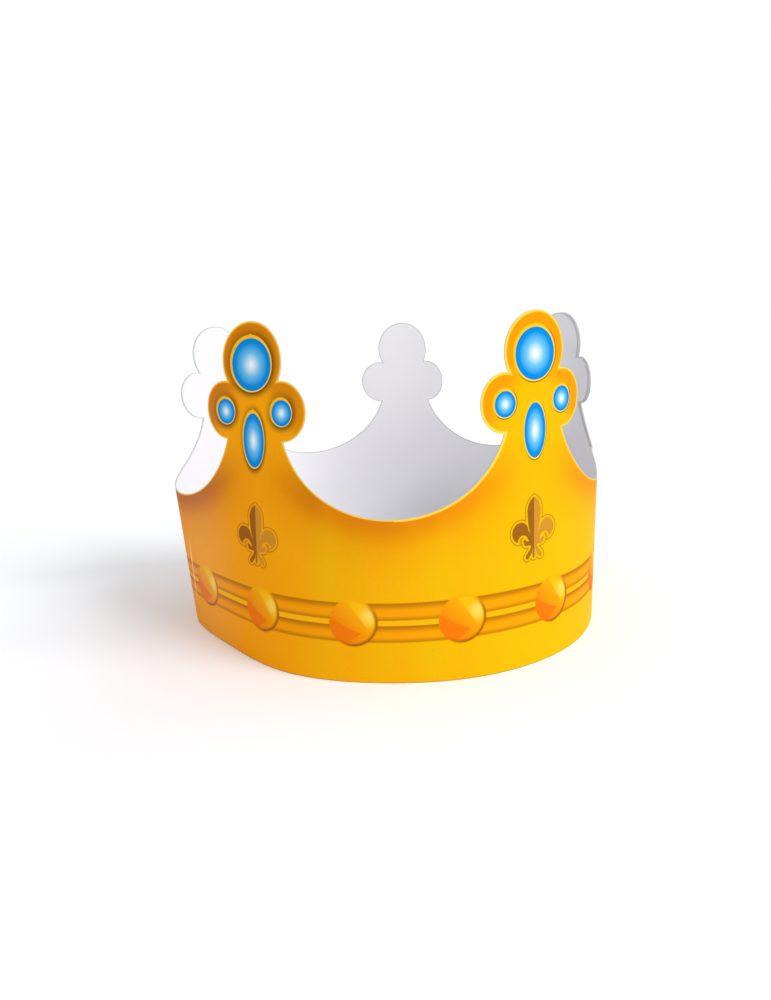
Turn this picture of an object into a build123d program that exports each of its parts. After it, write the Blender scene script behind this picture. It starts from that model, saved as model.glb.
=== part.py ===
from build123d import *
import math
import os

# A paper crown: one die-cut strip of card, bent into a ring and lapped on
# itself behind one of its points. Millimetres, +Z up, the front faces -Y.

# The strip
ring_length = 560.0
point_count = 5
card_thickness = 0.5

# The lap: the strip's two ends lie on each other, one point along from the
# front right, and the outer ply steps down to the ring over a short ramp
lap_length = 56.0
lap_ramp = 14.0
lap_point = 1

# The cut outline of one point, measured up from the bottom edge of the strip
# and sideways from the middle of the point; the side lobes' middles stand this
# far above the neck, and the top lobe's this far above theirs
valley_height = 61.2
valley_level = 3.0
shoulder_spread = 26.0
shoulder_height = 71.1
neck_height = 87.6
neck_half_width = 14.0
neck_edge_angle = 64.0
side_lobe_radius = 10.7
side_lobe_spread = 13.5
side_lobe_rise = 10.9
top_lobe_radius = 13.9
top_lobe_rise = 17.3

# How the ring is bent, at every 30 degrees from the front round to the right:
# the distance from the middle as a share of the front's, and the lean outwards
bend_shape = (1.0, 1.097, 1.2, 1.263, 1.381, 1.384, 1.193, 1.145, 1.047, 1.137, 0.982, 0.977)
lean_angles = (-0.2, -3.7, -1.4, 0.8, -4.5, -9.1, -8.0, -4.3, -0.1, 3.0, 1.2, -2.0)
rulings_per_station = 2
# Where the front valley stands, along the strip from the front of the ring,
# and the small slant of the points along the strip
front_valley_shift = 5.8
point_slant = 2.6

# The cut reaches this far in and out of the card, the wall starts this much
# too tall, and neighbouring cuts run this far into each other
cut_reach = 45.0
cut_spare = 6.0
cut_overlap = 0.6

point_pitch = ring_length / point_count
side_lobe_height = neck_height + side_lobe_rise
top_lobe_height = side_lobe_height + top_lobe_rise
blank_height = top_lobe_height + top_lobe_radius + cut_spare
lap_middle = front_valley_shift + (lap_point + 0.5) * point_pitch
lap_start = lap_middle - lap_length / 2
lap_end = lap_middle + lap_length / 2
ramp_middle = lap_end + lap_ramp / 2
ramp_end = lap_end + lap_ramp


def outward_at(curve, place):
    """The level direction that points out of the ring."""
    return curve.tangent_at(place).cross(Vector(0, 0, 1))


def foot_stations(front_reach):
    """The places that the ring's foot runs through, on the ground."""
    turn = 360 / len(bend_shape)
    return [
        Vector(front_reach * share, 0, 0).rotate(Axis.Z, turn * number - 90)
        for number, share in enumerate(bend_shape)
    ]


front_reach = ring_length / Spline(foot_stations(1.0), periodic=True).length
stations = foot_stations(front_reach)
foot_curve = Spline(stations, periodic=True)


def lean_between(number, share):
    """The lean part of the way from one station to the next, in a smooth blend."""
    around = [lean_angles[(number + step) % len(lean_angles)] for step in (-1, 0, 1, 2)]
    before, low, high, after = around
    bend = 2 * before - 5 * low + 4 * high - after
    twist = after - before + 3 * (low - high)
    return low + share / 2 * (high - before + share * (bend + share * twist))


def ruling_feet():
    """Where straight lines run up the card: (foot, outward direction, lean) for each."""
    cuts = [0.0] + [foot_curve.param_at_point(station) for station in stations[1:]] + [1.0]
    feet = []
    for number, (low, high) in enumerate(zip(cuts, cuts[1:])):
        for step in range(rulings_per_station):
            share = step / rulings_per_station
            place = low + share * (high - low)
            outward = outward_at(foot_curve, place)
            feet.append((foot_curve.position_at(place), outward, lean_between(number, share)))
    return feet


def ring_spans(height, inset):
    """The line round the card at one height, this far inside its outer face, cut at each ruling."""
    places = []
    for foot, outward, lean in ruling_feet():
        reach = height * math.tan(math.radians(lean)) - inset
        places.append(foot + outward * reach + Vector(0, 0, height))
    line = Spline(places, periodic=True)
    cuts = [0.0] + [line.param_at_point(place) for place in places[1:]] + [1.0]
    return [line.trim(low, high) for low, high in zip(cuts, cuts[1:])]


foot_spans = ring_spans(0, 0)
head_spans = ring_spans(blank_height, 0)
span_starts = [sum(span.length for span in foot_spans[:number]) for number in range(len(foot_spans))]


def span_place(along):
    """Which span holds a place along the strip, and the share of it that comes before."""
    along = along % ring_length
    number = max(number for number, start in enumerate(span_starts) if start <= along)
    return number, min((along - span_starts[number]) / foot_spans[number].length, 1.0)


def on_card(along, up):
    """A place on the outer face, from its place on the flat strip."""
    number, share = span_place(along)
    foot = foot_spans[number].position_at(share)
    rise = (head_spans[number].position_at(share) - foot).normalized()
    return foot + rise * up


def ring_wall():
    """One ply of card all the way round, its faces ruled from foot to head."""
    outer, inner = [
        (ring_spans(0, inset), ring_spans(blank_height, inset)) for inset in (0, card_thickness)
    ]
    faces = [
        Face.make_surface_from_curves(low, high)
        for foot, head in (outer, inner)
        for low, high in zip(foot, head)
    ]
    faces += [Face(Wire(around), [Wire(within)]) for around, within in zip(outer, inner)]
    return Solid(Shell(faces))


def upright_band(inner, outer):
    """A band as tall as the blank, between two rows of (along, offset) places."""
    ends = []
    for spans in (foot_spans, head_spans):
        rows = []
        for row in (inner, outer):
            points = []
            for along, offset in row:
                number, share = span_place(along)
                outward = outward_at(spans[number], share)
                points.append(spans[number].position_at(share) + outward * offset)
            rows.append(points)
        near, far = rows
        sides = Line(near[0], far[0]) + Line(near[-1], far[-1])
        ends.append(make_face(Spline(near) + Spline(far) + sides))
    return loft(ends, ruled=True)


def outer_ply():
    """The end of the strip that lies outside the other, with its ramp down."""
    sunk = -card_thickness / 2
    inner = [(along, sunk) for along in (lap_start, lap_middle, lap_end, ramp_middle, ramp_end)]
    outer = [(along, card_thickness) for along in (lap_start, lap_middle, lap_end)]
    return upright_band(inner, outer + [(ramp_middle, card_thickness / 2), (ramp_end, sunk / 3)])


def inner_step():
    """What is missing inside, between the inner ply's edge and the end of the ramp."""
    past = ramp_end + lap_ramp
    inner = [(along, -cut_spare) for along in (lap_end, ramp_end, past)]
    return upright_band(inner, [(lap_end, 0), (ramp_end, -card_thickness), (past, -2 * card_thickness)])


def card_blank():
    """The uncut ring: a wall of card, double where its ends lap."""
    return ring_wall() + outer_ply() - inner_step()


def lobe_notch():
    """Where a side lobe's circle meets the top lobe's, as (side, height)."""
    drop = top_lobe_height - side_lobe_height
    span = math.hypot(side_lobe_spread, drop)
    reach = (top_lobe_radius**2 - side_lobe_radius**2 + span**2) / (2 * span)
    half_chord = math.sqrt(top_lobe_radius**2 - reach**2)
    side = (side_lobe_spread * reach + drop * half_chord) / span
    return side, top_lobe_height + (side_lobe_spread * half_chord - drop * reach) / span


def point_cut(number):
    """All that is cut away above one point, from valley to valley."""
    middle = front_valley_shift + (number + 0.5) * point_pitch
    span, share = span_place(middle)
    origin = foot_spans[span].position_at(share)
    along = foot_spans[span].tangent_at(share)
    outward = outward_at(foot_spans[span], share)

    def drawn(side, up):
        slant = math.tan(math.radians(point_slant)) * (up - valley_height)
        place = on_card(middle + side + slant, up)
        return ((place - origin).dot(along), place.Z)

    def valley_side(way):
        """From the middle of a valley, along its level bottom and up to the neck."""
        middle_side, low = drawn(way * point_pitch / 2, valley_height)
        level_end = (drawn(way * (point_pitch / 2 - valley_level), valley_height)[0], low)
        shoulder = drawn(way * shoulder_spread, shoulder_height)
        neck = drawn(way * neck_half_width, neck_height)
        rise = math.radians(neck_edge_angle)
        tangents = [(-way, 0), (-way * math.cos(rise), math.sin(rise))]
        return Line((middle_side, low), level_end) + Spline(level_end, shoulder, neck, tangents=tangents)

    def side_lobe(way):
        notch_side, notch_up = lobe_notch()
        start = drawn(way * neck_half_width, neck_height)
        widest = drawn(way * (side_lobe_spread + side_lobe_radius), side_lobe_height)
        return ThreePointArc(start, widest, drawn(way * notch_side, notch_up))

    def frame_side(way):
        """Up the line of a valley's middle, a little way past it."""
        low_side, low = drawn(way * point_pitch / 2, valley_height)
        high_side, high = drawn(way * point_pitch / 2, blank_height)
        past = way * cut_overlap
        return [(low_side, low), (low_side + past, low), (high_side + past, high + cut_spare)]

    notch_side, notch_up = lobe_notch()
    crest = drawn(0, top_lobe_height + top_lobe_radius)
    top_lobe = ThreePointArc(drawn(-notch_side, notch_up), crest, drawn(notch_side, notch_up))
    frame = Polyline(*frame_side(1), *reversed(frame_side(-1)))
    edges = valley_side(-1) + side_lobe(-1) + top_lobe + side_lobe(1) + valley_side(1) + frame
    plane = Plane(origin=origin, x_dir=along, z_dir=outward)
    return extrude(plane * make_face(edges), cut_reach, both=True)


def crown_card():
    """The whole crown, its footprint centred on the origin."""
    card = card_blank()
    for number in range(point_count):
        card -= point_cut(number)
    middle = card.bounding_box().center()
    return Pos(-middle.X, -middle.Y, 0) * card


os.makedirs("parts", exist_ok=True)
export_step(crown_card(), "parts/crown_card.step")
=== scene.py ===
# %% [markdown]
# # A paper crown
# The real crown is one die-cut strip of card, printed gold on one side and left plain on the
# other. It is bent into a ring, and its two ends are lapped behind one of the points. The frame
# gives the finished solid, so every size below is measured against it.

# %% Load the frame
import math
import bpy
import numpy as np
from mathutils import Matrix, Vector
from mathutils.bvhtree import BVHTree


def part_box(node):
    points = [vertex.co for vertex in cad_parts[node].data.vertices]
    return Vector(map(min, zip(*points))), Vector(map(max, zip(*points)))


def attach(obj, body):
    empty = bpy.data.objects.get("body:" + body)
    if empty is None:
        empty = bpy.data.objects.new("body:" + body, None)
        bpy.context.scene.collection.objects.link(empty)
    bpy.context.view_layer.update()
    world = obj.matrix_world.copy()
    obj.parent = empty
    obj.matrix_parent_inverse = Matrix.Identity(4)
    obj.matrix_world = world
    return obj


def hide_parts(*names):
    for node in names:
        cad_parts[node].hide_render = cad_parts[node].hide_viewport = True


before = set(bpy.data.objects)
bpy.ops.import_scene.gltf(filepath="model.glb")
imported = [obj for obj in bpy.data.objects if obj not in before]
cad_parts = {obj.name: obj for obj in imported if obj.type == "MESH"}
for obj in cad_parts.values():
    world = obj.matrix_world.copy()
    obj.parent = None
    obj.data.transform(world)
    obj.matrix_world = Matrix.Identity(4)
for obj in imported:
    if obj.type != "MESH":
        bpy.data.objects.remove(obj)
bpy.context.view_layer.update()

MM = 0.001
card_low, card_high = [np.array(corner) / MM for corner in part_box("crown_card")]
print("the solid, in mm:", (card_high - card_low).round(1))

# %% [markdown]
# ## The camera
# The crown is seen from just above its points, looking a little down into the ring. The camera
# stands straight in front of it and is rolled by a few degrees. A wide lens close by makes the
# front points large and the back ones small.

# %% Camera
camera_place = (-0.9 * MM, -317.1 * MM, 124.5 * MM)
camera_pitch = math.radians(13.573)
camera_roll = math.radians(-2.4146)
camera_lens = 25.19
sensor_size = 36.0

camera = bpy.data.objects.new("camera", bpy.data.cameras.new("camera"))
bpy.context.collection.objects.link(camera)
camera.data.lens = camera_lens
camera.data.sensor_width = sensor_size
tilt = Matrix.Rotation(math.radians(90) - camera_pitch, 4, "X")
camera.matrix_world = Matrix.Translation(camera_place) @ tilt @ Matrix.Rotation(camera_roll, 4, "Z")
bpy.context.scene.camera = camera
print("camera height, in mm:", round(camera.location.z / MM, 1))

# %% [markdown]
# ## The sizes of the flat strip
# A paper crown is designed flat. Along the strip, 0 is the front valley, and the points stand
# half a pitch to each side of the valleys. Up the strip, 0 is its bottom edge. The cut of a point
# is a scoop out of each valley, with three discs on top that make the trefoil.

# %% Sizes of the strip
ring_length = 560.0
point_count = 5
card_thickness = 0.5
pitch = ring_length / point_count
lap_point = 1
lap_length = 56.0
lap_ramp = 14.0
lap_slip = 1.0

scoop_half_width, scoop_half_height, scoop_middle = 44.0, 37.7, 98.9
side_lobe = (13.5, 98.5, 10.7)
top_lobe = (0.0, 115.8, 13.9)
trefoil_core = (10.0, 95.0, 105.0)

strip_start = (lap_point + 0.5) * pitch - lap_length / 2
strip_end = strip_start + ring_length + lap_length
strip_top = top_lobe[1] + top_lobe[2]
print("flat strip, in mm:", strip_end - strip_start, "x", round(strip_top, 1))

# %% [markdown]
# ## Modelling helpers
# Each operator works on whatever is selected, so a step first takes hold of one object alone.
# The scoops and discs are stretched cylinders, which stand in for the blades of the cutting die.

# %% Helpers for modelling
tool_depth, blade_sides = 20.0, 128


def take(piece):
    bpy.ops.object.select_all(action="DESELECT")
    piece.select_set(True)
    bpy.context.view_layer.objects.active = piece
    return piece


def new_piece(name):
    piece = take(bpy.context.object)
    piece.name = piece.data.name = name
    bpy.ops.object.transform_apply(location=True, rotation=True, scale=True)
    return piece


def blade(across, up, half_width, half_height):
    bpy.ops.mesh.primitive_cylinder_add(
        vertices=blade_sides, radius=1, depth=tool_depth * MM,
        location=(across * MM, up * MM, 0), scale=(half_width * MM, half_height * MM, 1),
    )
    return new_piece("blade")


def block(left, right, low, high):
    bpy.ops.mesh.primitive_cube_add(
        size=1, location=((left + right) / 2 * MM, (low + high) / 2 * MM, 0),
        scale=((right - left) * MM, (high - low) * MM, tool_depth * MM),
    )
    return new_piece("block")


def carve(piece, tool, how="DIFFERENCE"):
    step = take(piece).modifiers.new("carve", "BOOLEAN")
    step.operation, step.object, step.solver = how, tool, "EXACT"
    bpy.ops.object.modifier_apply(modifier=step.name)
    bpy.data.objects.remove(tool)


# %% [markdown]
# ## The waste between two points
# It is easier to model what falls out of the die than what stays. The waste of one valley is a
# block above the scoop, joined to the scoop, from which the lobes of its two neighbours are
# taken. Made once, it is copied along the strip.

# %% Waste of one valley
waste_overlap, waste_above = 1.0, 8.0


def valley_waste():
    half_width = pitch / 2 + waste_overlap
    waste = block(-half_width, half_width, scoop_middle, strip_top + waste_above)
    carve(waste, blade(0, scoop_middle, scoop_half_width, scoop_half_height), "UNION")
    core, core_low, core_high = trefoil_core
    for way in (-1, 1):
        axis = way * pitch / 2
        carve(waste, block(axis - core, axis + core, core_low, core_high))
        for aside, up, radius in (top_lobe, side_lobe):
            carve(waste, blade(axis - way * aside, up, radius, radius))
    waste.name = "waste"
    return waste


waste = valley_waste()
print("waste of one valley:", len(waste.data.polygons), "faces")

# %% [markdown]
# ## The flat card
# A grid gives the card enough cuts to bend smoothly later. It is extruded to the thickness of the
# card, and the waste is cut out at each valley in turn, as the die does all at once.

# %% Cut the card
grid_cell, grid_above = 3.0, 0.2


def flat_card():
    length, height = strip_end - strip_start, strip_top + grid_above
    bpy.ops.mesh.primitive_grid_add(
        x_subdivisions=round(length / grid_cell), y_subdivisions=round(height / grid_cell), size=1,
        location=((strip_start + strip_end) / 2 * MM, height / 2 * MM, -card_thickness * MM),
    )
    bpy.ops.transform.resize(value=(length * MM, height * MM, 1))
    card = new_piece("crown_print")
    bpy.ops.object.mode_set(mode="EDIT")
    bpy.ops.mesh.select_all(action="SELECT")
    bpy.ops.mesh.extrude_region_move(TRANSFORM_OT_translate={"value": (0, 0, card_thickness * MM)})
    bpy.ops.mesh.select_all(action="SELECT")
    bpy.ops.mesh.normals_make_consistent(inside=False)
    bpy.ops.object.mode_set(mode="OBJECT")
    for number in range(lap_point, lap_point + point_count + 2):
        copy = waste.copy()
        copy.data = waste.data.copy()
        bpy.context.collection.objects.link(copy)
        take(copy)
        bpy.ops.transform.translate(value=(number * pitch * MM, 0, 0))
        bpy.ops.object.transform_apply()
        carve(card, copy)
    bpy.data.objects.remove(waste)
    return card


card = flat_card()
print("flat card:", len(card.data.polygons), "faces")
print("its sides, in mm:", [round(side / MM, 1) for side in card.dimensions])

# %% [markdown]
# ## The flat pattern
# The print follows the card wherever it is bent, because each corner keeps its flat place in a UV
# map. Each face is sorted once and for all, while the card is flat and its normals are plain.

# %% Keep the flat pattern
def corners_of(mesh):
    places = np.empty(len(mesh.vertices) * 3)
    mesh.vertices.foreach_get("co", places)
    return places.reshape(-1, 3) / MM


def keep_pattern(mesh):
    pattern = mesh.uv_layers.active or mesh.uv_layers.new(name="UVMap")
    pattern.name = "flat_pattern"
    corner = np.empty(len(mesh.loops), dtype=int)
    mesh.loops.foreach_get("vertex_index", corner)
    pattern.data.foreach_set("uv", (corners_of(mesh)[corner, :2] * MM).ravel())


def sort_faces(mesh):
    """Face 0 is the print, 1 the plain inside and 2 the cut edge."""
    facing = np.empty(len(mesh.polygons) * 3)
    mesh.polygons.foreach_get("normal", facing)
    up = facing.reshape(-1, 3)[:, 2].round()
    finish = np.where(up > 0, 0, np.where(up < 0, 1, 2))
    for _ in range(finish.max() + 1):
        mesh.materials.append(None)
    mesh.polygons.foreach_set("material_index", finish.astype(np.int32))
    return finish


keep_pattern(card.data)
finish_of_face = sort_faces(card.data)
print("faces of print, inside and edge:", np.bincount(finish_of_face))

# %% [markdown]
# ## The bend of the ring
# Nobody bends card into a true circle. The bend of this crown is given at every 30 degrees, by
# its distance from the middle and by how far the card leans out, as in the solid. A closed curve
# runs through the twelve places, with the tangents that make it bend evenly at each of them.

# %% Bend of the ring
bend_shape = (1.0, 1.097, 1.2, 1.263, 1.381, 1.384, 1.193, 1.145, 1.047, 1.137, 0.982, 0.977)
lean_angles = (-0.2, -3.7, -1.4, 0.8, -4.5, -9.1, -8.0, -4.3, -0.1, 3.0, 1.2, -2.0)
front_valley_shift = 5.8
point_slant = math.radians(2.6)
steps_per_station = 60
station_turn = 360 / len(bend_shape)


def closed_curve(places):
    """Closely spaced points on a smooth closed curve through some places."""
    count = len(places)
    spans = np.roll(places, -1, axis=0) - places
    lengths = np.linalg.norm(spans, axis=1)
    rows = np.zeros((count, count))
    sums = np.zeros((count, 2))
    for here in range(count):
        before, after = 1 / lengths[here - 1], 1 / lengths[here]
        rows[here, here - 1] += before
        rows[here, here] += 2 * (before + after)
        rows[here, (here + 1) % count] += after
        sums[here] = 3 * (spans[here - 1] * before**2 + spans[here] * after**2)
    slopes = np.linalg.solve(rows, sums)
    share = np.arange(steps_per_station)[:, None] / steps_per_station
    line = []
    for here in range(count):
        start, end = places[here], places[(here + 1) % count]
        leave, arrive = slopes[here] * lengths[here], slopes[(here + 1) % count] * lengths[here]
        line.append(
            start + share * leave + share**2 * (3 * (end - start) - 2 * leave - arrive)
            + share**3 * (2 * (start - end) + leave + arrive)
        )
    return np.concatenate(line)


def even_leans():
    """The lean between the stations, blended smoothly from each to the next."""
    share = np.arange(steps_per_station) / steps_per_station
    leans = []
    for here in range(len(lean_angles)):
        before, low, high, after = np.take(lean_angles, range(here - 1, here + 3), mode="wrap")
        bend, twist = 2 * before - 5 * low + 4 * high - after, after - before + 3 * (low - high)
        leans.append(low + share / 2 * (high - before + share * (bend + share * twist)))
    return np.radians(np.concatenate(leans))


angles = np.radians(np.arange(len(bend_shape)) * station_turn - 90)
stations = np.array(bend_shape)[:, None] * np.stack([np.cos(angles), np.sin(angles)], axis=1)
foot = closed_curve(stations)
steps = np.linalg.norm(np.roll(foot, -1, axis=0) - foot, axis=1)
foot *= ring_length / steps.sum()
place_along = np.concatenate([[0], np.cumsum(steps)]) * ring_length / steps.sum()
print("front reach of the ring, in mm:", round(ring_length / steps.sum(), 2))

# %% [markdown]
# ## Roll the card up
# Every corner goes from its flat place to its place on the ring: along the foot, then up the
# leaning card, then outwards by its depth in the card. Blender's bend tools only bend to an even
# arc, so the corners are moved by this rule. Over the lap the outer end rides one thickness
# further out, and steps down to the ring past the inner end.

# %% Roll
ply_gap, course_step, smooth_angle = 0.03, 0.5, math.radians(30)


def round_the_ring(values):
    closed = np.concatenate([values, values[:1]])
    return lambda along: np.interp(along % ring_length, place_along, closed)


def roll(flat):
    along_strip, up, depth = flat.T
    lean_of, foot_x, foot_y = [round_the_ring(values) for values in (even_leans(), *foot.T)]
    ramp = np.clip((strip_start + lap_length + lap_ramp - along_strip) / lap_ramp, 0, 1)
    outer = ramp**2 * (3 - 2 * ramp)
    slant = math.tan(point_slant) * (up - (scoop_middle - scoop_half_height))
    along = front_valley_shift + along_strip + slant - lap_slip * outer
    x, y, lean = foot_x(along), foot_y(along), lean_of(along)
    ahead, behind = along + course_step, along - course_step
    course = np.stack([foot_x(ahead) - foot_x(behind), foot_y(ahead) - foot_y(behind)])
    course /= np.linalg.norm(course, axis=0)
    outward = np.stack([course[1], -course[0]])
    depth = depth + outer * (card_thickness + ply_gap)
    reach = up * np.sin(lean) + depth * np.cos(lean)
    height = up * np.cos(lean) - depth * np.sin(lean)
    return np.stack([x + outward[0] * reach, y + outward[1] * reach, height], axis=1)


rolled = roll(corners_of(card.data))
own_middle = (rolled.min(axis=0) + rolled.max(axis=0)) / 2
rolled[:, :2] += ((card_low + card_high) / 2 - own_middle)[:2]
rolled[:, 2] = rolled[:, 2] - rolled[:, 2].min()
card.data.vertices.foreach_set("co", (rolled * MM).ravel())
card.data.update()
take(card)
bpy.ops.object.shade_smooth_by_angle(angle=smooth_angle)

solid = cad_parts["crown_card"]
near = BVHTree.FromObject(solid, bpy.context.evaluated_depsgraph_get())
gaps = [near.find_nearest(vertex.co)[3] / MM for vertex in card.data.vertices]
print("furthest from the solid, in mm:", round(max(gaps), 2))
print("and on average:", round(sum(gaps) / len(gaps), 3))

# %% [markdown]
# ## Shader sums
# The print is worked out from the flat pattern with sums. A small class wraps a socket of the
# node tree, so that a sum is written as in Python, and each sign adds its own Math node.

# %% A socket that can be reckoned with
class Shade:
    """One value in a material's node tree."""

    def __init__(self, tree, socket=None):
        self.tree, self.socket = tree, socket

    def node(self, kind, settings=(), inputs=(), output=0):
        """Adds any node: its settings come first, then the values or links of its sockets."""
        node = self.tree.nodes.new(kind)
        for name, value in dict(settings).items():
            if name == "stops":
                self.set_stops(node.color_ramp, value)
            else:
                setattr(node, name, value)
        for name, value in dict(inputs).items():
            if isinstance(value, Shade):
                self.tree.links.new(value.socket, node.inputs[name])
            else:
                node.inputs[name].default_value = value
        return Shade(self.tree, node.outputs[output])

    @staticmethod
    def set_stops(ramp, stops):
        while len(ramp.elements) < len(stops):
            ramp.elements.new(1.0)
        for element, (place, tint) in zip(ramp.elements, stops):
            element.position, element.color = place, tint

    def sum(self, operation, *terms):
        inputs = dict(enumerate((self,) + terms))
        return self.node("ShaderNodeMath", {"operation": operation}, inputs)

    def __add__(self, other):
        return self.sum("ADD", other)

    def __sub__(self, other):
        return self.sum("SUBTRACT", other)

    def __rsub__(self, other):
        return self.node("ShaderNodeMath", {"operation": "SUBTRACT"}, {0: other, 1: self})

    def __mul__(self, other):
        return self.sum("MULTIPLY", other)

    def __truediv__(self, other):
        return self.sum("DIVIDE", other)

    def __mod__(self, other):
        return self.sum("FLOORED_MODULO", other)

    def __abs__(self):
        return self.sum("ABSOLUTE")

    def least(self, *others):
        value = self
        for other in others:
            value = value.sum("MINIMUM", other)
        return value

    def most(self, *others):
        value = self
        for other in others:
            value = value.sum("MAXIMUM", other)
        return value

    def rise(self, low, high):
        """0 below low, 1 above high, and a soft step between them."""
        inputs = {"Value": self, "From Min": low, "From Max": high}
        return self.node("ShaderNodeMapRange", {"interpolation_type": "SMOOTHSTEP"}, inputs)

    def inside(self, soft=0.15):
        """1 where a distance is below nothing, which is inside a shape."""
        return 1 - self.rise(-soft, soft)

    def away(self, place):
        """How far this point is from a place."""
        return self.node("ShaderNodeVectorMath", {"operation": "DISTANCE"}, {0: self, 1: place}, 1)

    def disc(self, across, up, radius):
        """The distance from the rim of a disc, below nothing inside it."""
        return self.away((across, up, 0)) - radius

    def toward(self, way):
        """How far this point lies in one direction."""
        return self.node("ShaderNodeVectorMath", {"operation": "DOT_PRODUCT"}, {0: self, 1: way}, 1)

    def stretched(self, by):
        return self.node("ShaderNodeVectorMath", {"operation": "MULTIPLY"}, {0: self, 1: by})

    def moved(self, by):
        return self.node("ShaderNodeVectorMath", {"operation": "ADD"}, {0: self, 1: by})

    def noise(self, scale, detail):
        """Noise worked out at this place."""
        return self.node("ShaderNodeTexNoise", {}, {"Vector": self, "Scale": scale, "Detail": detail})

    def painted(self, over, mask):
        """This colour, with another one laid over it where the mask says."""
        return self.node("ShaderNodeMix", {"data_type": "RGBA"}, {0: mask, 6: self, 7: over}, 2)


# %% [markdown]
# ## Places and colours
# A place on the print is a vector of two numbers. A colour is written as it is seen on a screen,
# from 0 to 255, and made linear for the socket. Two colours are blended by a share.

# %% Places and colours
def point_at(across, up):
    return across.node("ShaderNodeCombineXYZ", {}, {0: across, 1: up})


def blend(share, low, high):
    """One colour where the share is 0 and the other where it is 1."""
    return share.node("ShaderNodeMix", {"data_type": "RGBA"}, {0: share, 6: low, 7: high}, 2)


def tint(red, green, blue):
    """A colour as it is seen, made ready for a socket."""
    parts = [part / 255 for part in (red, green, blue)]
    return tuple(c / 12.92 if c <= 0.04045 else ((c + 0.055) / 1.055) ** 2.4 for c in parts) + (1.0,)


# %% [markdown]
# ## Where things are on the print
# The strip carries the same artwork on each point, so the place along it is folded into one
# pitch, and the studs have a shorter pitch of their own. Distances are in millimetres and are
# below nothing inside a shape, so shapes are joined by the lesser and cut by the greater.

# %% Places on the print
def flat_place(start):
    """The place along the strip and up it, in millimetres."""
    uv = start.node("ShaderNodeUVMap", {"uv_map": "flat_pattern"})
    parts = start.node("ShaderNodeSeparateXYZ", {}, {0: uv})
    up = Shade(parts.tree, parts.socket.node.outputs[1])
    return parts / MM, up / MM


def beside_axis(along):
    """How far a place is to the right of the middle of its point."""
    return along % pitch - pitch / 2


def valley_rim(beside, up):
    """The distance from the cut edge of the valleys."""
    across = (pitch / 2 - abs(beside)) / scoop_half_width
    scoop = point_at(across, (up - scoop_middle) / scoop_half_height)
    return ((1 - scoop.away((0, 0, 0))) * scoop_half_height).most(up - scoop_middle)


def card_edge(beside, up, rim):
    """The distance from the cut edge of the point, below nothing on the card."""
    lobes = point_at(abs(beside), up)
    core = (abs(beside) - trefoil_core[0]).most(up - trefoil_core[2])
    return lobes.disc(*side_lobe).least(lobes.disc(*top_lobe), rim, core)


# %% [markdown]
# ## The stones
# Four stones are printed on each point: a round one, two small ones and a long one. Each is a
# blue disc that pales towards its middle, in a gold collar that comes to a tip at the top. The
# collar is thick up on the left and thin down on the right, with a brown line and shadow there.

# %% Printed stones
stone_blues = (
    (0.0, tint(250, 252, 255)), (0.12, tint(226, 240, 252)), (0.45, tint(110, 192, 236)),
    (0.8, tint(0, 144, 224)), (1.0, tint(0, 130, 208)),
)
collar_gold, collar_pale = tint(254, 194, 22), tint(255, 226, 120)
shadow_brown = tint(112, 66, 6)
collar_growth, collar_width, collar_shift = 1.05, 0.4, (-0.22, 0.3, 0)
rim_line_place, rim_line_half_width, rim_line_soft = 0.15, 0.2, 0.22
gleam_place, stone_soft = 0.28, 0.12
toward_low_right = (0.75, -0.66)
# The middle on the point, half the width, half the height, and the height of the collar's tip
stone_rows = (
    ((0, 114.8), 9.15, 9.15, 0.55),
    ((-13.6, 98.1), 4.6, 4.6, 0.1),
    ((13.6, 98.1), 4.6, 4.6, 0.1),
    ((0, 87.9), 5.08, 9.88, 0.7),
)


def collar_shape(spot, reach, tip):
    """The distance from a disc with a pointed top, and from the disc alone."""
    disc = spot.away(collar_shift) - reach
    slope = reach / (reach + tip)
    cone = abs(spot.toward((1, 0, 0))) * math.sqrt(1 - slope**2) + spot.toward((0, slope, 0)) - reach
    return disc.least(cone.most(reach * slope - spot.toward((0, 1, 0)))), disc


def stone(paint, here, middle, half_width, half_height, tip, depth):
    """Lays one stone with its collar and the shadow round it over the paint."""
    spot = here.moved((-middle[0], -middle[1], 0)).stretched((half_height / half_width, 1, 1))
    from_middle = spot.away((0, 0, 0))
    gap = from_middle - half_height
    ring, disc = collar_shape(spot, half_height * collar_growth + collar_width, tip)
    low_right = spot.toward((*[part / half_height for part in toward_low_right], 0))
    glow = disc.rise(3.0, -0.6) * (low_right.rise(-1.6, 0.5) * 0.5 + 0.45) * depth
    line = (abs(ring - rim_line_place) - rim_line_half_width).inside(rim_line_soft)
    line = line * low_right.rise(-0.5, 0.35) * disc.rise(1.4, 0.7) * 0.9
    gleam = (gap - gleam_place).inside(stone_soft) * low_right.rise(-0.8, 0.2)
    blue = spot.node("ShaderNodeValToRGB", {"stops": stone_blues}, {0: from_middle / half_height})
    paint = paint.painted(shadow_brown, glow).painted(collar_gold, ring.inside())
    paint = paint.painted(shadow_brown, line).painted(collar_pale, gleam)
    return paint.painted(blue, gap.inside(stone_soft))


def stones(paint, beside, up, depth):
    here = point_at(beside, up)
    for row in stone_rows:
        paint = stone(paint, here, *row, depth)
    return paint


print("stones on each point:", len(stone_rows))

# %% [markdown]
# ## The lily
# Under the stones each point has a printed lily, the old ornament of crowns. Only its right half
# is drawn, and the left one is its mirror image. Discs that cut each other make the petals, and
# bars with round ends the collar, the stem and the tails. One thin line runs round all of it.

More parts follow.
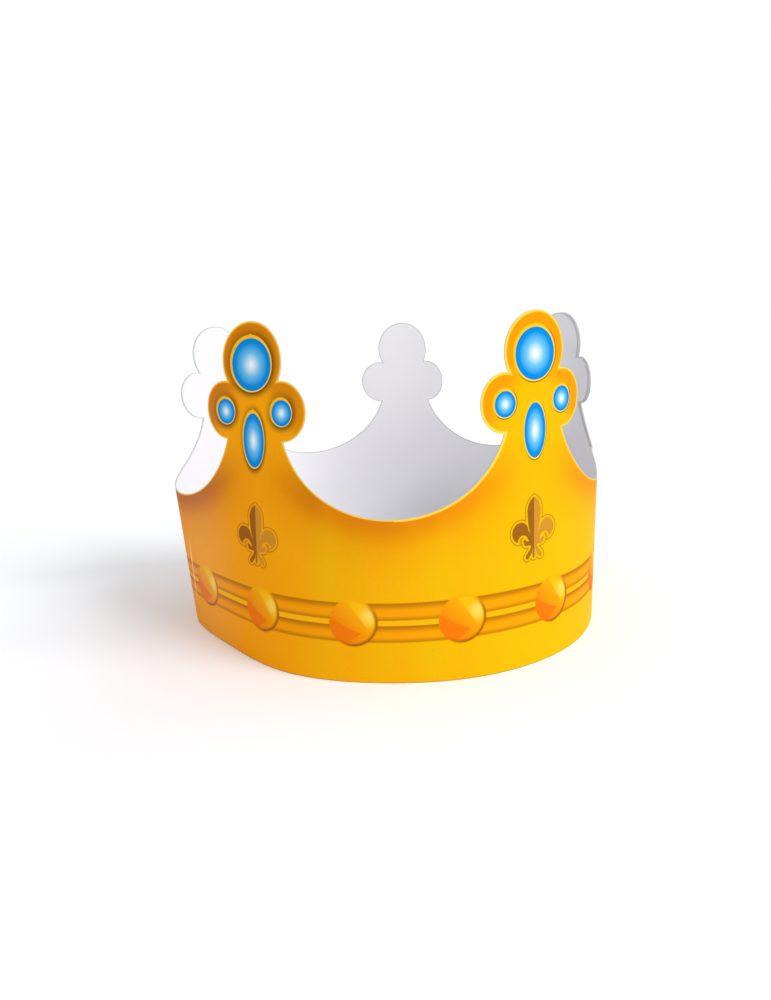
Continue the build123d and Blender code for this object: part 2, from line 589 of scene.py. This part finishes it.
# %% Printed lily
lily_dark, lily_light, lily_line = tint(150, 88, 20), tint(204, 140, 42), tint(146, 82, 8)
lily_axis, lily_soft = -0.4, 0.16
lily_line_place, lily_line_half_width, lily_line_soft = 0.95, 0.16, 0.2
petal_waist, petal_foot, petal_squeeze, petal_disc = 58.9, 46.5, 0.44, (-2.3, 0, 5.5)
leaf_disc, curl_disc = (6.4, 51.4, 3.75), (5.3, 47.9, 2.35)
# Where each bar starts and ends, and half its width: root, collar, hook, stem, tail and toe
lily_bars = (
    ((3.0, 50.6), (0.9, 47.2), 1.0),
    ((0.0, 46.7), (3.9, 47.0), 0.85),
    ((3.9, 47.1), (4.5, 48.0), 0.6),
    ((0.0, 50.5), (0.0, 47.0), 1.0),
    ((0.0, 46.5), (0.0, 41.8), 0.7),
    ((0.7, 46.0), (1.7, 43.5), 0.6),
    ((1.9, 43.4), (3.2, 41.8), 0.85),
)


def bar(here, start, end, half_width):
    """The distance from a straight bar with round ends."""
    start, end = np.array((*start, 0.0)), np.array((*end, 0.0))
    run = end - start
    offset = here.moved(tuple(-start))
    share = offset.toward(tuple(run / (run @ run))).most(0).least(1)
    rod = here.node("ShaderNodeVectorMath", {"operation": "SCALE"}, {0: tuple(run), 3: share})
    return offset.away(rod) - half_width


def lily_shape(beside, up):
    """The distance from the lily, below nothing inside it."""
    side = abs(beside - lily_axis)
    here = point_at(side, up)
    tall = (up - petal_waist).most((up - petal_waist) * petal_squeeze)
    petal = point_at(side, tall).disc(*petal_disc).most(petal_foot - up)
    leaf = here.disc(*leaf_disc).most(0 - here.disc(*curl_disc))
    return petal.least(leaf, *[bar(here, *row) for row in lily_bars])


def lily(paint, beside, up):
    shape = lily_shape(beside, up)
    halves = blend((beside - lily_axis).rise(-0.12, 0.12), lily_dark, lily_light)
    line = (abs(shape - lily_line_place) - lily_line_half_width).inside(lily_line_soft)
    return paint.painted(lily_line, line * 0.85).painted(halves, shape.inside(lily_soft) * 0.95)


print("bars in each half of a lily:", len(lily_bars))

# %% [markdown]
# ## The rails and the studs
# Two printed rails with a pale stripe between them run round the foot of the crown, with a row of
# studs over them. Each rail is darkest along its edges, as if it were rounded. A stud has a bright
# wedge up on the right, a deep orange field below on the left, and a brown shadow on the right of
# its rim.

# %% Printed rails and studs
rail_edges = (30.63, 24.35, 22.14, 15.98)
rail_orange, rail_brown, stripe_yellow = tint(246, 152, 1), tint(166, 92, 1), tint(250, 184, 8)
stripe_half_width = 1.0
stud_pitch, stud_middle, stud_radius, stud_start = 40.0, 23.26, 9.0, 14.6
stud_orange, stud_amber, stud_deep = tint(250, 172, 4), tint(240, 136, 3), tint(240, 116, 3)
stud_wedge, stud_gleam, stud_brown = tint(252, 190, 8), tint(255, 226, 110), tint(120, 66, 8)
deep_arc_middle, deep_arc_radius, arc_soft = (15.2, 33.1, 0), 39.0, 0.15
deep_corner, deep_side = (3.3, -4.0), (-0.571, 0.821, 0)
wedge_corner, wedge_side, gleam_middle = (-1.7, 6.9), (0.8, 0.6, 0), (5.9, 2.6, 0)


def rails(paint, up):
    top, stripe_top, stripe_bottom, bottom = rail_edges
    for high, low in ((top, stripe_top), (stripe_bottom, bottom)):
        body = (abs(up - (high + low) / 2) - (high - low) / 2).inside()
        paint = paint.painted(rail_orange, body * 0.7)
        for from_edge, reach, strength in ((high - up, 3.0, 0.8), (up - low, 2.0, 0.7)):
            shadow = from_edge.rise(reach, -0.2) * from_edge.rise(-0.5, 0.2)
            paint = paint.painted(rail_brown, shadow * strength)
    stripe = abs(up - (stripe_top + stripe_bottom) / 2) - stripe_half_width
    return paint.painted(stripe_yellow, stripe.inside())


def past_line(here, corner, side):
    """How far this point lies past a line through a corner, on the side given."""
    return here.moved((-corner[0], -corner[1], 0)).toward(side)


def stud_body(here, edge):
    """The colours inside the rim of a stud."""
    body = blend(here.toward((-0.7, -0.7, 0)).rise(-7, 7), stud_orange, stud_amber)
    deep = (here.away(deep_arc_middle) - deep_arc_radius).rise(-arc_soft, arc_soft)
    deep = deep * past_line(here, deep_corner, deep_side).rise(-0.2, 0.2)
    wedge = past_line(here, wedge_corner, wedge_side).rise(-0.1, 0.5)
    wedge = wedge * here.toward((0, 1, 0)).rise(-3.4, -0.6) * (edge + 1.0).inside(0.45)
    gleam = wedge * here.away(gleam_middle).rise(4.8, 0.4)
    body = body.painted(stud_deep, deep * 0.85).painted(stud_wedge, wedge * 0.8)
    return body.painted(stud_gleam, gleam * 0.6)


def studs(paint, along, up):
    across = (along + stud_start + stud_pitch / 2) % stud_pitch - stud_pitch / 2
    here = point_at(across, up - stud_middle)
    edge = here.disc(0, 0, stud_radius)
    right = here.toward((0.8 / stud_radius, -0.6 / stud_radius, 0)).rise(-0.25, 0.75)
    body = stud_body(here, edge).painted(stud_brown, edge.rise(-1.7, 0.05) * right * 0.85)
    halo = (edge - 0.3).inside(0.5) * right * 0.5
    return paint.painted(rail_brown, halo).painted(body, edge.inside())


print("studs round the crown:", round(ring_length / stud_pitch))

# %% [markdown]
# ## Materials
# Each side of the card gets a Principled shader, whose sockets take either a value or a link. The
# card is never quite flat, which a slow bump shows in its reflections, and a fine one gives it
# the grain of paper.

# %% Materials
wave_stretch, wave_scale, wave_detail = (1, 0.22, 1), 0.035, 1.0


def new_material(name):
    material = bpy.data.materials.new(name)
    material.use_nodes = True
    return material, Shade(material.node_tree), material.node_tree.nodes["Principled BSDF"]


def settle(start, shader, values):
    for name, value in values.items():
        if isinstance(value, Shade):
            start.tree.links.new(value.socket, shader.inputs[name])
        else:
            shader.inputs[name].default_value = value


def bumps(place, wave, grain_scale, grain_detail, grain):
    """Slow waves with a fine grain over them, each with its strength and depth."""
    slow = place.stretched(wave_stretch).noise(wave_scale, wave_detail)
    height = {"Height": slow, "Strength": wave[0], "Distance": wave[1] * MM}
    slow = place.node("ShaderNodeBump", {}, height)
    fine = place.noise(grain_scale, grain_detail)
    height = {"Height": fine, "Strength": grain[0], "Distance": grain[1] * MM, "Normal": slow}
    return place.node("ShaderNodeBump", {}, height)


# %% [markdown]
# ## The gold side
# The field of the print is a warm gold that turns yellower towards the right of the crown. This is
# partly the print's own tone and partly painted shade: the left side, away from the key lamp, is
# painted darker and more orange in the field, the valleys, the bands and the shadows round the
# stones, and upright lighter streaks in it are a painted sheen. A darker orange hugs the valleys,
# and a band of it the rims of the lobes, inside a pale line where the printed edge has been cut
# through. Specks give it the grain of the print. One pale streak on the left flank is a painted
# highlight, standing in for a reflection along the fold.

# %% The gold side
# The deep, dark colours go on the left of the crown and the yellow, light ones on the right: partly the
# print's tone, partly painted shade on the side away from the key lamp.
gold_deep, gold_yellow = tint(252, 162, 1), tint(238, 186, 1)
shade_deep, shade_light = tint(196, 102, 1), tint(242, 148, 1)
band_dark, band_light = tint(206, 118, 2), tint(250, 150, 1)
edge_line, speck_brown, highlight_pale = tint(252, 216, 84), tint(206, 126, 2), tint(255, 240, 214)
yellowest_place, yellow_start, cloud_share = 92.0, 0.35, 0.5
hug_reach, hug_share, glow_reach, glow_share = 13.0, 0.65, 26.0, 0.35
shade_end, shade_fade = 88.0, 24.0
# How wide each band is and how soft, and where the top one fades in
side_band, top_band, top_band_foot = (5.2, 1.0), (4.7, 0.9), (104, 114)
line_width, line_widening = 0.45, 0.5
# The cloud is a random tone in the gold; stretched up the strip, its lighter streaks also stand as a
# painted sheen.
cloud_stretch, cloud_scale, cloud_detail = (1, 0.25, 1), 0.05, 2.0
# The painted highlight streak on the left flank: its place along the strip, where it fades in and out,
# and half its width.
highlight_place, highlight_low, highlight_high, highlight_half_width = -108.6, (7, 19), (35, 43), 0.42
flank_place, flank_half_width, flank_soft = -92.0, 14.0, 16.0
band_side = (0.8, 0.6, 0)


def gold_field(along, up, rim):
    """The gold with its darker valleys, painted darker still on the left as shade, and how yellow it
    is.
    """
    # The cloud's upright streaks are partly a painted sheen.
    cloud = point_at(along, up).stretched(cloud_stretch).noise(cloud_scale, cloud_detail)
    turned = ((along - yellowest_place) * (math.tau / ring_length)).sum("COSINE")
    yellow = turned * 0.5 + 0.5 + (cloud - 0.5) * cloud_share
    yellow = yellow.most(0).least(1).rise(yellow_start, 1.0)
    hug = rim.rise(-hug_reach, -0.5) * hug_share + rim.rise(-glow_reach, -3) * glow_share
    hug = hug * (1 - up.rise(shade_end - shade_fade, shade_end))
    paint = blend(yellow, gold_deep, gold_yellow)
    return paint.painted(blend(yellow, shade_deep, shade_light), hug), yellow


def rim_band(disc, width, soft):
    """A band of this width inside the rim of a disc."""
    return disc.rise(-width - soft, -width + soft) * (1 - disc.rise(0, 0.3))


def lobe_bands(beside, up, edge):
    """How much of the darker band of the lobes lies here."""
    lobes = point_at(abs(beside), up)
    outwards = past_line(lobes, side_lobe, band_side).rise(-4, 5)
    side = rim_band(lobes.disc(*side_lobe), *side_band) * outwards
    top = rim_band(lobes.disc(*top_lobe), *top_band) * up.rise(*top_band_foot)
    return side.most(top) * (1 - edge.rise(-1.1, -0.4))


def edge_lines(paint, beside, up, edge, yellow):
    """The pale line along the cut, wider on the left of the yellow points, and a painted shadow along
    the foot.
    """
    width = yellow * beside.rise(4, -4) * line_widening + line_width
    paint = paint.painted(edge_line, (0 - edge - width).inside(0.2) * 0.85)
    # A thin painted shadow along the foot, where the card meets the table.
    return paint.painted(shadow_brown, (up - 0.3).inside(0.25) * 0.4)


# A painted highlight: a pale streak up the fold on the left flank, standing in for a reflection.
def painted_highlight(paint, along, up):
    highlight = (abs(along - (ring_length + highlight_place)) - highlight_half_width).inside(0.3)
    return paint.painted(highlight_pale, highlight * up.rise(*highlight_low) * (1 - up.rise(*highlight_high)) * 0.9)


def gold_print():
    material, start, shader = new_material("gold_print")
    along, up = flat_place(start)
    place = point_at(along, up)
    beside = beside_axis(along)
    rim = valley_rim(beside, up)
    edge = card_edge(beside, up, rim)
    paint, yellow = gold_field(along, up, rim)
    band = lobe_bands(beside, up, edge)
    # The bands are painted darker on the left, as shade, and lighter on the right.
    paint = paint.painted(band_dark, band * (1 - yellow) * 0.9).painted(band_light, band * yellow * 0.9)
    paint = paint.painted(speck_brown, place.noise(1.6, 2.0).rise(0.5, 0.9) * 0.35)
    paint = lily(studs(rails(paint, up), along, up), beside, up)
    # The shadows round the stones are painted stronger on the left, as shade.
    paint = stones(paint, beside, up, yellow.rise(1.1, 0.1))
    paint = painted_highlight(edge_lines(paint, beside, up, edge, yellow), along, up)
    flank = (abs(along - (ring_length + flank_place)) - flank_half_width).inside(flank_soft)
    settle(start, shader, {
        "Base Color": paint, "Roughness": place.noise(0.15, 2.0) * 0.12 + 0.26,
        "Normal": bumps(place, (0.5, 1.2), 1.1, 3.0, (0.12, 0.05)), "Specular IOR Level": 0.0,
        "Coat Weight": flank * 0.32 + 0.1, "Coat Roughness": 0.08,
    })
    return material


# %% [markdown]
# ## The plain side and the cut edge
# The inside is bare white board, with faint fibres along the strip and a grey line of painted
# shade along its cut edge. The cut edge shows the board's own fibres, a little darker.

# %% The plain side and the cut edge
paper_dim, paper_plain, paper_edge_shade = tint(236, 234, 237), tint(246, 244, 247), tint(176, 178, 178)
fibre_dim, fibre_plain = tint(192, 191, 188), tint(220, 218, 214)
fibre_stretch = (0.5, 1, 1)


def plain_inside():
    material, start, shader = new_material("plain_inside")
    along, up = flat_place(start)
    place = point_at(along, up)
    paper = blend(place.stretched(fibre_stretch).noise(2.2, 4.0), paper_dim, paper_plain)
    beside = beside_axis(along)
    edge = card_edge(beside, up, valley_rim(beside, up))
    # The grey line along the cut edge is painted shade, standing in for the edge seen in shadow.
    settle(start, shader, {
        "Base Color": paper.painted(paper_edge_shade, edge.rise(-0.75, -0.25) * 0.55), "Roughness": 0.55,
        "Normal": bumps(place, (0.4, 1.0), 2.5, 4.0, (0.25, 0.06)), "Specular IOR Level": 0.3,
    })
    return material


def cut_edge():
    material, start, shader = new_material("cut_edge")
    fibre = point_at(*flat_place(start)).noise(1.5, 3.0)
    settle(start, shader, {
        "Base Color": blend(fibre, fibre_dim, fibre_plain), "Roughness": 0.7,
        "Specular IOR Level": 0.2,
    })
    return material


for slot_number, make in enumerate((gold_print, plain_inside, cut_edge)):
    made = card.data.materials[slot_number] = make()
    print(made.name, len(made.node_tree.nodes), "nodes")

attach(card, "root")
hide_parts("crown_card")

# %% [markdown]
# ## The lamps and the white world
# The light is that of a soft studio. Two wide lamps stand on the right, a strong one before the
# crown and a weak one behind it, and give the soft shadow on its left. A low one fills the front.
# The world gives an even light, and is pure white only where it is seen or reflected.

# %% Lamps and world
world_fill = 0.46
# The strength, the spread in degrees and where the light comes from
lamps = {
    "key": (1.88, 33, (0.76, -0.4, 0.62)),
    "back": (0.35, 40, (0.61, 0.35, 0.9)),
    "front": (0.66, 32, (-0.3, -0.95, 0.14)),
}


def far_lamp(name, strength, spread, light_from):
    """A lamp far away, as wide as its spread in degrees says."""
    light = bpy.data.lights.new(name, "SUN")
    light.energy, light.angle = strength, math.radians(spread)
    lamp = bpy.data.objects.new(name, light)
    bpy.context.collection.objects.link(lamp)
    lamp.rotation_euler = Vector(light_from).to_track_quat("Z", "Y").to_euler()
    return lamp


def seen_plainly(start):
    """1 for the camera and for reflections, and nothing for the light that falls on things."""
    rays = start.node("ShaderNodeLightPath").socket.node
    camera_ray, *others = [Shade(start.tree, rays.outputs[name]) for name in
                           ("Is Camera Ray", "Is Glossy Ray", "Is Transmission Ray")]
    return camera_ray.most(*others)


def white_world():
    world = bpy.data.worlds.new("studio")
    world.use_nodes = True
    start, background = Shade(world.node_tree), world.node_tree.nodes["Background"]
    strength = seen_plainly(start) * (1 - world_fill) + world_fill
    settle(start, background, {"Color": (1, 1, 1, 1), "Strength": strength})
    return world


for name, (strength, spread, light_from) in lamps.items():
    far_lamp(name, strength, spread, light_from)
bpy.context.scene.world = white_world()
bpy.context.scene.view_settings.view_transform = "Standard"
print("lamps:", len(lamps))

# %% [markdown]
# ## The floor
# The crown stands on a white table, so large that its far end can't be told from the white behind
# it. The table is lifted a little towards white for the camera, and it keeps the soft shadow.

# %% Floor
floor_size, floor_drop = 60.0, 0.1
floor_white, floor_lift, floor_dark = tint(246, 249, 254), tint(110, 110, 110), tint(0, 0, 0)

bpy.ops.mesh.primitive_plane_add(size=floor_size, location=(0, 0, -floor_drop * MM))
floor = new_piece("floor")
floor_material, floor_start, floor_shader = new_material("white_floor")
settle(floor_start, floor_shader, {
    "Base Color": floor_white, "Roughness": 0.8, "Specular IOR Level": 0.1,
    "Emission Color": blend(seen_plainly(floor_start), floor_dark, floor_lift),
    "Emission Strength": 1.0,
})
floor.data.materials.append(floor_material)
print("floor, in m:", floor_size)
